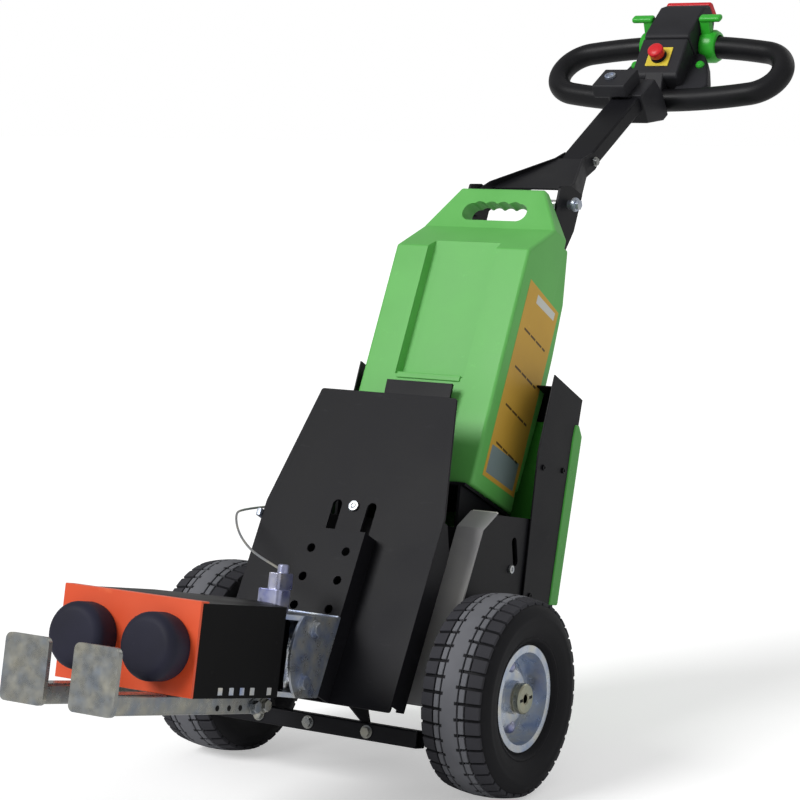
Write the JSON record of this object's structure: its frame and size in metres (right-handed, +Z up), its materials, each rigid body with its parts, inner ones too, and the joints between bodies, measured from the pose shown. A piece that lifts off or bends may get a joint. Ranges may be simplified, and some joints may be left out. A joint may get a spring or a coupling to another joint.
{
  "type": "electric tow tractor",
  "caption": "Pedestrian electric tow tractor with driven wheels, rear castor, lift-out battery, front coupling with bumpers and hooks, and a tiller with a ring handle.",
  "frame": {"origin": "on the floor, under the middle of the whole machine's length and width", "axes": "+Z up, -Y towards the coupling, +Y towards the tiller, +X the wheel on the right of someone at the tiller"},
  "size_m": [0.6582, 2.0476, 1.3158],
  "materials": {
    "tyre_rubber": "matt black rubber with a grey worn tread",
    "rim_zinc": "bright zinc plate",
    "axle_steel": "plain steel",
    "drive_grey": "dark cast housing",
    "frame_black": "satin black powder coat",
    "corner_grey": "light galvanised sheet",
    "bracket_zinc": "bright zinc plate",
    "hook_zinc": "bright zinc plate",
    "pin_zinc": "blue zinc plate",
    "wire_steel": "bare wire",
    "panel_green": "satin light green",
    "battery_green": "fine-grained light green plastic",
    "bumper_orange": "satin orange powder coat",
    "bumper_rubber": "smooth blue-black rubber",
    "castor_rubber": "grey solid tyre",
    "grip_rubber": "soft black grip",
    "head_black": "grained black plastic",
    "button_red": "gloss red",
    "plate_yellow": "satin yellow",
    "thumb_green": "bright green"
  },
  "bodies": {
    "root": {"battery_tray": "frame_black", "castor_bracket": "bracket_zinc", "chassis_frame": "frame_black", "crossbar": "frame_black", "drive_unit": "drive_grey", "front_plate": "frame_black", "hitch_bracket": "bracket_zinc", "king_pin": "pin_zinc", "mast_brace": "frame_black", "mast_left": "frame_black", "mast_right": "frame_black", "pin_lanyard": "wire_steel", "rear_cover": "frame_black", "rear_panel": "panel_green", "side_block_left": "corner_grey", "side_block_right": "corner_grey", "slide_channel": "frame_black", "tiller_pivot": "axle_steel"},
    "wheel_left": {"tyre_left": "tyre_rubber", "rim_left": "rim_zinc", "axle_left": "axle_steel"},
    "wheel_right": {"tyre_right": "tyre_rubber", "rim_right": "rim_zinc", "axle_right": "axle_steel"},
    "castor_swivel": {"castor_fork": "bracket_zinc"},
    "castor_roll": {"castor_wheel": "castor_rubber"},
    "hitch": {"hitch_housing": "frame_black", "bumper_plate": "bumper_orange", "bumper_left": "bumper_rubber", "bumper_right": "bumper_rubber", "hook_arm_left": "hook_zinc", "hook_arm_right": "hook_zinc"},
    "battery": {"battery_case": "battery_green"},
    "tiller": {"tiller_yoke": "frame_black", "tiller_arm": "frame_black", "head_neck": "head_black", "handle_ring": "grip_rubber", "console": "head_black", "belly_button": "button_red", "estop_plate": "plate_yellow", "estop_button": "button_red", "throttle_left": "thumb_green", "throttle_right": "thumb_green", "key_box": "head_black"}
  },
  "joints": [
    {"name": "wheel_left_spin", "type": "hinge", "parent": "root", "child": "wheel_left", "pos_m": [-0.268, -0.2362, 0.165], "axis": [1, 0, 0], "continuous": true},
    {"name": "wheel_right_spin", "type": "hinge", "parent": "root", "child": "wheel_right", "pos_m": [0.268, -0.2362, 0.165], "axis": [1, 0, 0], "continuous": true},
    {"name": "castor_turn", "type": "hinge", "parent": "root", "child": "castor_swivel", "pos_m": [0, 0.0638, 0.15], "axis": [0, 0, 1], "continuous": true},
    {"name": "castor_spin", "type": "hinge", "parent": "castor_swivel", "child": "castor_roll", "pos_m": [0, 0.1018, 0.0625], "axis": [1, 0, 0], "continuous": true},
    {"name": "hitch_swing", "type": "hinge", "parent": "root", "child": "hitch", "pos_m": [0, -0.50791, 0.25292], "axis": [0, 0.2062, 0.9785], "range_deg": [-25, 25]},
    {"name": "battery_lift", "type": "slide", "parent": "root", "child": "battery", "axis": [0, 0.383, 0.9238], "range_m": [0, 0.3]},
    {"name": "tiller_tilt", "type": "hinge", "parent": "root", "child": "tiller", "pos_m": [0, 0.30577, 0.93305], "axis": [1, 0, 0], "range_deg": [-25, 20]}
  ]
}
